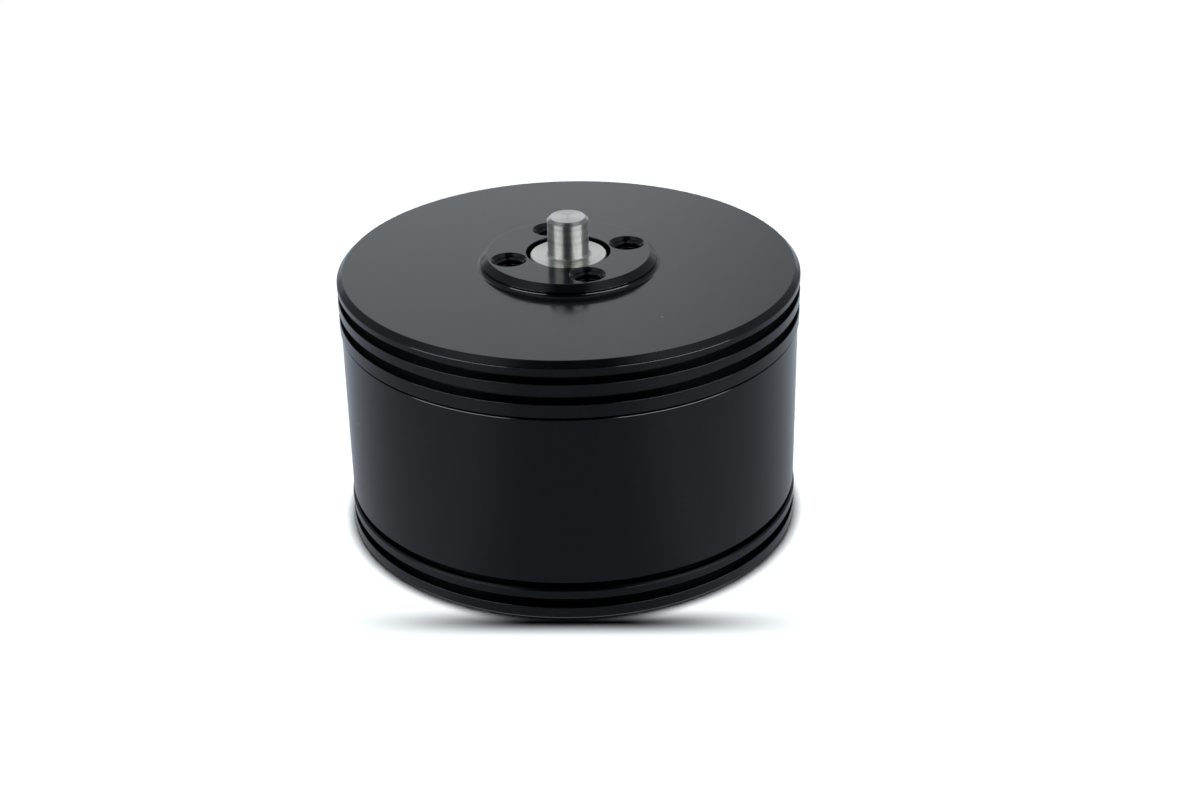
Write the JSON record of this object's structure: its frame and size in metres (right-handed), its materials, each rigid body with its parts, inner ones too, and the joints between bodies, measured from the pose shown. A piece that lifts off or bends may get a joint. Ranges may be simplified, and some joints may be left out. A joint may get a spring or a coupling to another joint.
{
  "type": "brushless motor",
  "caption": "Round housed brushless motor with grooved covers, a short stepped shaft and a raised front boss with tapped holes.",
  "frame": {"origin": "on the shaft axis, in the plane of the rear face that the motor stands on", "axes": "+Z along the shaft, out of the front face; +X towards the cable grommet's side; -Y is the side seen in the picture"},
  "size_m": [0.09, 0.09, 0.0627],
  "materials": {
    "black_anodised": "satin black anodised, turned",
    "turned_steel": "fine turned stainless steel",
    "seal_rubber": "smooth nitrile",
    "grommet_rubber": "matte moulded",
    "black_oxide_steel": "black oxide",
    "lamination_steel": "stacked sheets",
    "insulator_plastic": "glass-filled nylon",
    "enamelled_copper": "enamelled winding wire",
    "board_laminate": "solder mask",
    "chip_plastic": "moulded epoxy",
    "bright_steel": "bright zinc",
    "tinned_brass": "tinned",
    "spring_steel": "phosphated",
    "hub_aluminium": "machined",
    "magnet_nickel": "nickel plated",
    "sleeve_steel": "thin-wall stainless tube",
    "bearing_steel": "ground",
    "cage_plastic": "moulded nylon"
  },
  "bodies": {
    "housing": {"front_cover": "black_anodised", "can_tube": "black_anodised", "rear_cover": "black_anodised", "front_seal": "seal_rubber", "rear_seal": "seal_rubber", "through_bolts": "black_oxide_steel", "cable_grommet": "grommet_rubber", "stator_core": "lamination_steel", "front_insulator": "insulator_plastic", "rear_insulator": "insulator_plastic", "coils_phase_u": "enamelled_copper", "coils_phase_v": "enamelled_copper", "coils_phase_w": "enamelled_copper", "sensor_board": "board_laminate", "hall_sensors": "chip_plastic", "board_screws": "bright_steel", "phase_terminals": "tinned_brass", "bearing_circlip": "spring_steel", "preload_spring": "spring_steel", "front_bearing_outer_ring": "bearing_steel", "front_bearing_shields": "bright_steel", "rear_bearing_outer_ring": "bearing_steel", "rear_bearing_shields": "bright_steel"},
    "rotor": {"shaft": "turned_steel", "shaft_key": "turned_steel", "rotor_hub": "hub_aluminium", "hub_retaining_ring": "spring_steel", "rotor_yoke": "lamination_steel", "magnets_north": "magnet_nickel", "magnets_south": "magnet_nickel", "magnet_sleeve": "sleeve_steel", "front_bearing_inner_ring": "bearing_steel", "rear_bearing_inner_ring": "bearing_steel"},
    "front_ball_set": {"front_bearing_balls": "bearing_steel", "front_bearing_cage": "cage_plastic"},
    "rear_ball_set": {"rear_bearing_balls": "bearing_steel", "rear_bearing_cage": "cage_plastic"}
  },
  "joints": [
    {"name": "rotor_spin", "type": "hinge", "parent": "housing", "child": "rotor", "pos_m": [0, 0, 0.0285], "axis": [0, 0, 1], "continuous": true},
    {"name": "front_ball_set_spin", "type": "hinge", "parent": "housing", "child": "front_ball_set", "pos_m": [0, 0, 0.0435], "axis": [0, 0, 1], "continuous": true},
    {"name": "rear_ball_set_spin", "type": "hinge", "parent": "housing", "child": "rear_ball_set", "pos_m": [0, 0, 0.0068], "axis": [0, 0, 1], "continuous": true}
  ],
  "couplings": [
    {"joint": "front_ball_set_spin", "follows": "rotor_spin", "ratio": 0.439},
    {"joint": "rear_ball_set_spin", "follows": "rotor_spin", "ratio": 0.3906}
  ]
}
